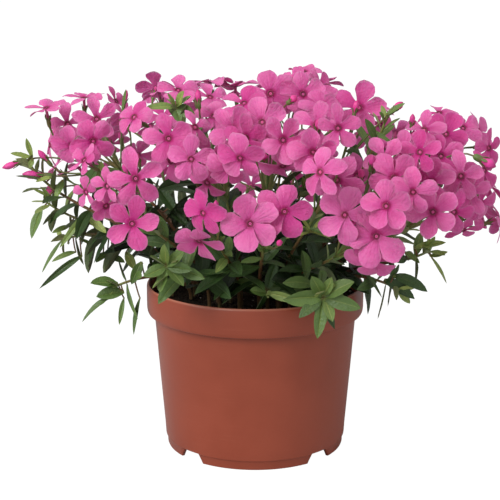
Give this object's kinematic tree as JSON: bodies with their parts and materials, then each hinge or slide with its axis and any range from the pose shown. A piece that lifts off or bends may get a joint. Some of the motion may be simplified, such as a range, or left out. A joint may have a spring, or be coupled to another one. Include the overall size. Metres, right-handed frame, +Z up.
{
  "type": "potted phlox plant",
  "caption": "Flowering phlox plant with pink five-petalled flower heads and narrow leaves, growing from soil in a round plastic nursery pot.",
  "frame": {"origin": "on the surface that the pot stands on, under the middle of the whole plant", "axes": "+Z up, +X to the right as seen from the front, the front towards -Y"},
  "size_m": [0.2743, 0.2326, 0.2118],
  "materials": {
    "pot_plastic": "terracotta-coloured injection-moulded plastic with a soft sheen",
    "soil": "dark, crumbly peat soil, not glossy",
    "petals": "thin matt pink petals with a darker crimson eye",
    "foliage": "green leaves with a faint waxy sheen, on green to reddish stems"
  },
  "bodies": {
    "root": {"pot": "pot_plastic", "potting_soil": "soil", "flower_head_01": "petals", "flower_head_02": "petals", "flower_head_03": "petals", "flower_head_04": "petals", "flower_head_05": "petals", "flower_head_06": "petals", "flower_head_07": "petals", "flower_head_08": "petals", "flower_head_09": "petals", "flower_head_10": "petals", "flower_head_11": "petals", "flower_head_12": "petals", "flower_head_13": "petals", "flower_head_14": "petals", "flower_head_15": "petals", "flower_head_16": "petals", "flower_head_17": "petals", "flower_head_18": "petals", "flower_head_19": "petals", "flower_head_20": "petals", "flower_head_21": "petals", "flower_head_22": "petals", "flowering_shoot_01": "foliage", "flowering_shoot_02": "foliage", "flowering_shoot_03": "foliage", "flowering_shoot_04": "foliage", "flowering_shoot_05": "foliage", "flowering_shoot_06": "foliage", "flowering_shoot_07": "foliage", "flowering_shoot_08": "foliage", "flowering_shoot_09": "foliage", "flowering_shoot_10": "foliage", "flowering_shoot_11": "foliage", "flowering_shoot_12": "foliage", "flowering_shoot_13": "foliage", "flowering_shoot_14": "foliage", "flowering_shoot_15": "foliage", "flowering_shoot_16": "foliage", "flowering_shoot_17": "foliage", "flowering_shoot_18": "foliage", "flowering_shoot_19": "foliage", "flowering_shoot_20": "foliage", "flowering_shoot_21": "foliage", "flowering_shoot_22": "foliage", "leaf_shoot_01": "foliage", "leaf_shoot_02": "foliage", "leaf_shoot_03": "foliage", "leaf_shoot_04": "foliage", "leaf_shoot_05": "foliage", "leaf_shoot_06": "foliage", "leaf_shoot_07": "foliage", "leaf_shoot_08": "foliage", "leaf_shoot_09": "foliage", "leaf_shoot_10": "foliage", "leaf_shoot_11": "foliage", "leaf_shoot_12": "foliage", "leaf_shoot_13": "foliage", "leaf_shoot_14": "foliage"}
  },
  "joints": []
}
